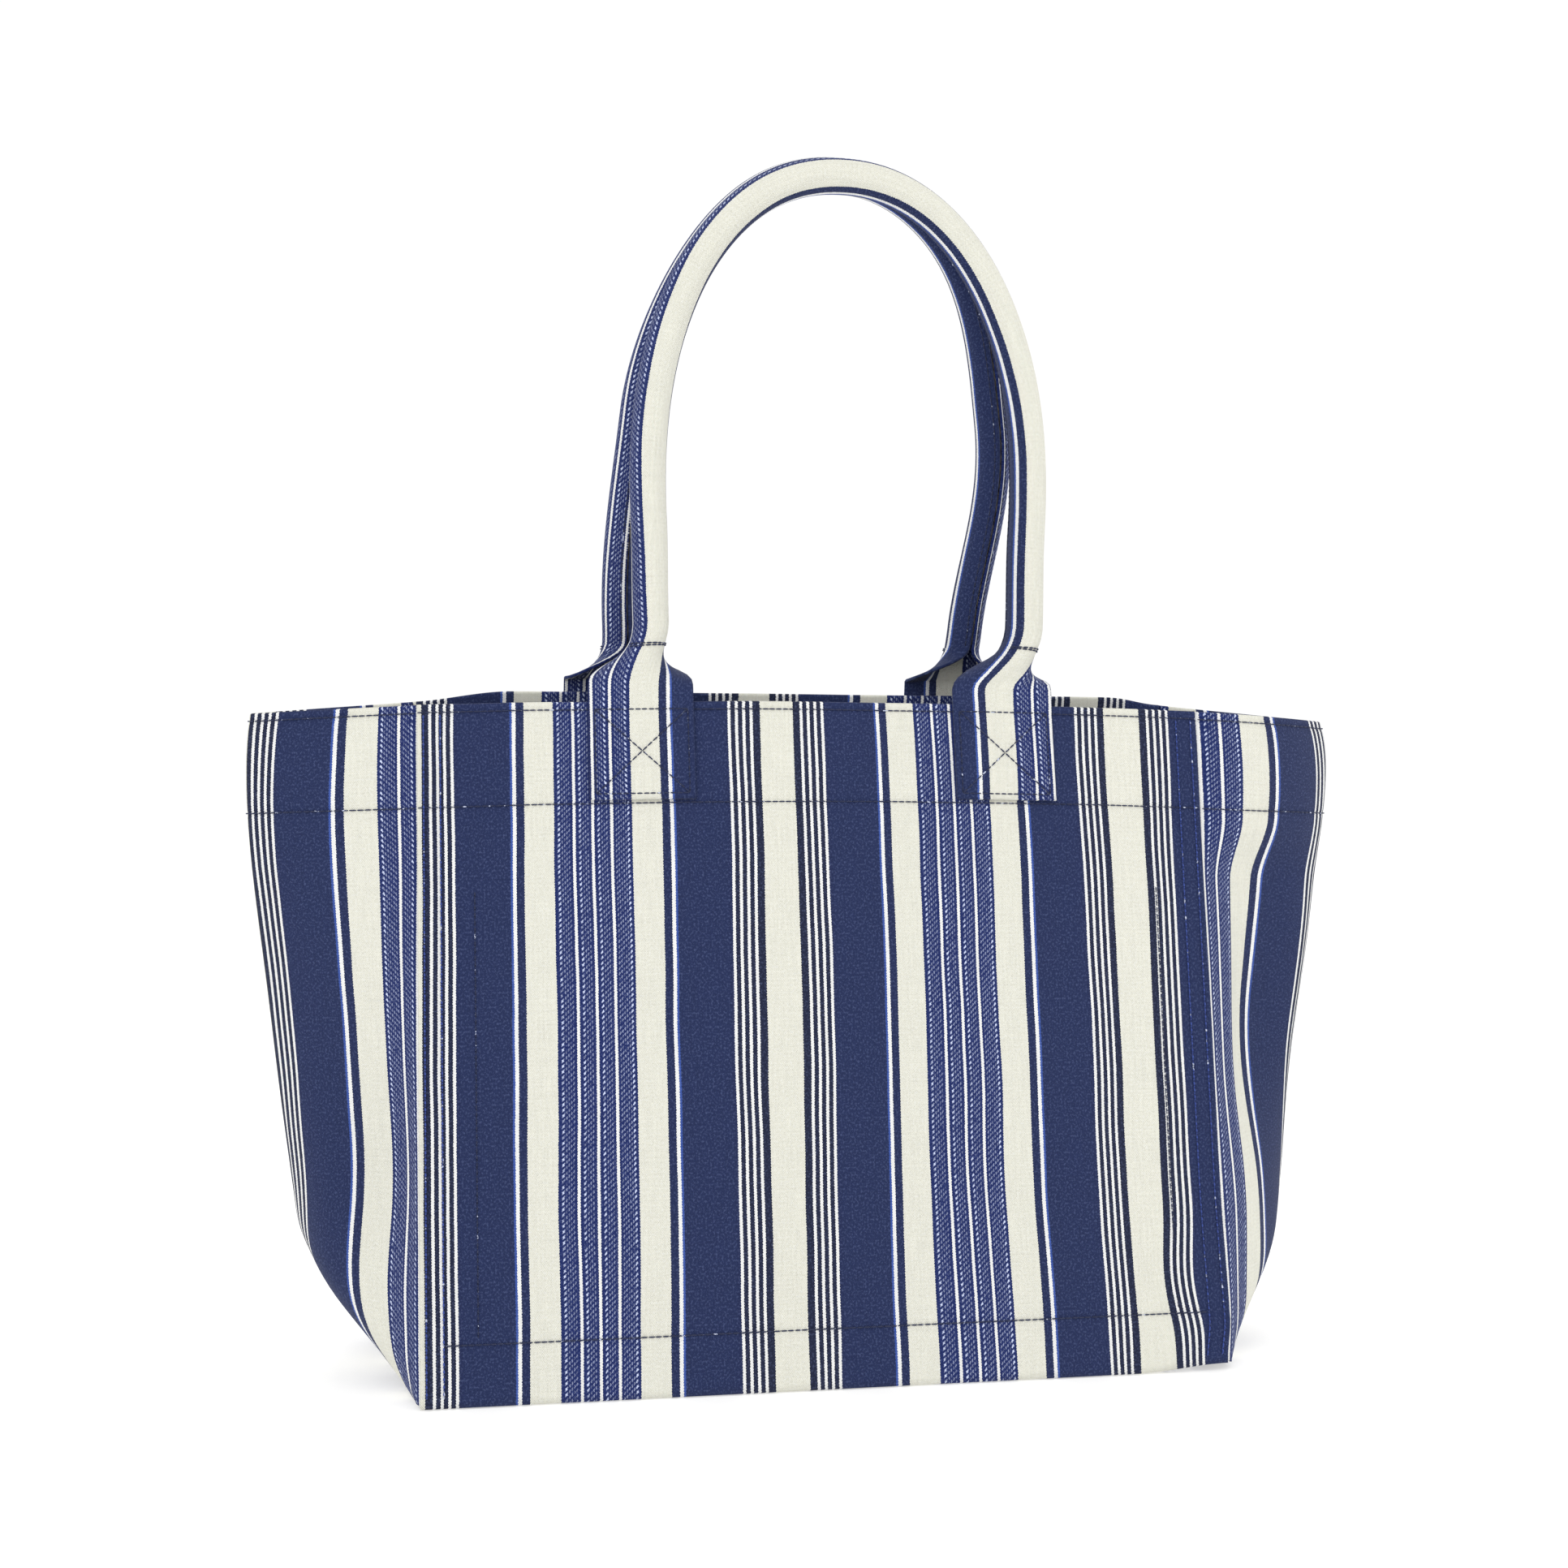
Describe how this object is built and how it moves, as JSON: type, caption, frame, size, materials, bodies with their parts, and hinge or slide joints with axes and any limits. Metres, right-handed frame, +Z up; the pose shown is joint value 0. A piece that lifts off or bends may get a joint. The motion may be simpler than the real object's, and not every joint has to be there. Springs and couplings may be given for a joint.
{
  "type": "tote bag",
  "caption": "Boxed canvas tote bag with pulled-out gussets and two upright rope-cored tube handles.",
  "frame": {"origin": "centre of the base, on the surface the bag stands on", "axes": "+X across the front towards the right side seam, +Y from the front panel to the back panel, +Z up to the handles"},
  "size_m": [0.5678, 0.1692, 0.6003],
  "materials": {
    "canvas": "plain-weave cotton canvas in cream, navy and mid-blue stripes, matt",
    "handle_canvas": "the same canvas cut to a strip with a cream middle, matt",
    "rope": "undyed cotton rope",
    "thread": "thick dark navy sewing thread"
  },
  "bodies": {
    "bag": {"front_panel": "canvas", "back_panel": "canvas", "left_gusset": "canvas", "right_gusset": "canvas", "base_panel": "canvas", "inner_pocket": "canvas", "front_left_tab": "handle_canvas", "front_right_tab": "handle_canvas", "back_left_tab": "handle_canvas", "back_right_tab": "handle_canvas", "front_left_box_stitch": "thread", "front_left_seam_thread": "thread", "front_right_box_stitch": "thread", "front_right_seam_thread": "thread", "front_upper_hem_thread": "thread", "front_lower_hem_thread": "thread", "front_base_thread": "thread", "back_left_box_stitch": "thread", "back_left_seam_thread": "thread", "back_right_box_stitch": "thread", "back_right_seam_thread": "thread", "back_upper_hem_thread": "thread", "back_lower_hem_thread": "thread", "back_base_thread": "thread", "left_upper_hem_thread": "thread", "left_lower_hem_thread": "thread", "right_upper_hem_thread": "thread", "right_lower_hem_thread": "thread", "pocket_thread": "thread"},
    "front_handle": {"front_handle_cover": "handle_canvas", "front_handle_core": "rope", "front_left_bar_tack": "thread", "front_right_bar_tack": "thread"},
    "back_handle": {"back_handle_cover": "handle_canvas", "back_handle_core": "rope", "back_left_bar_tack": "thread", "back_right_bar_tack": "thread"}
  },
  "joints": [
    {"name": "front_handle_swing", "type": "hinge", "parent": "bag", "child": "front_handle", "pos_m": [0, -0.02785, 0.33534], "axis": [1, 0, 0], "range_deg": [0, 150]},
    {"name": "back_handle_swing", "type": "hinge", "parent": "bag", "child": "back_handle", "pos_m": [0, 0.02785, 0.33534], "axis": [-1, 0, 0], "range_deg": [0, 150]}
  ]
}
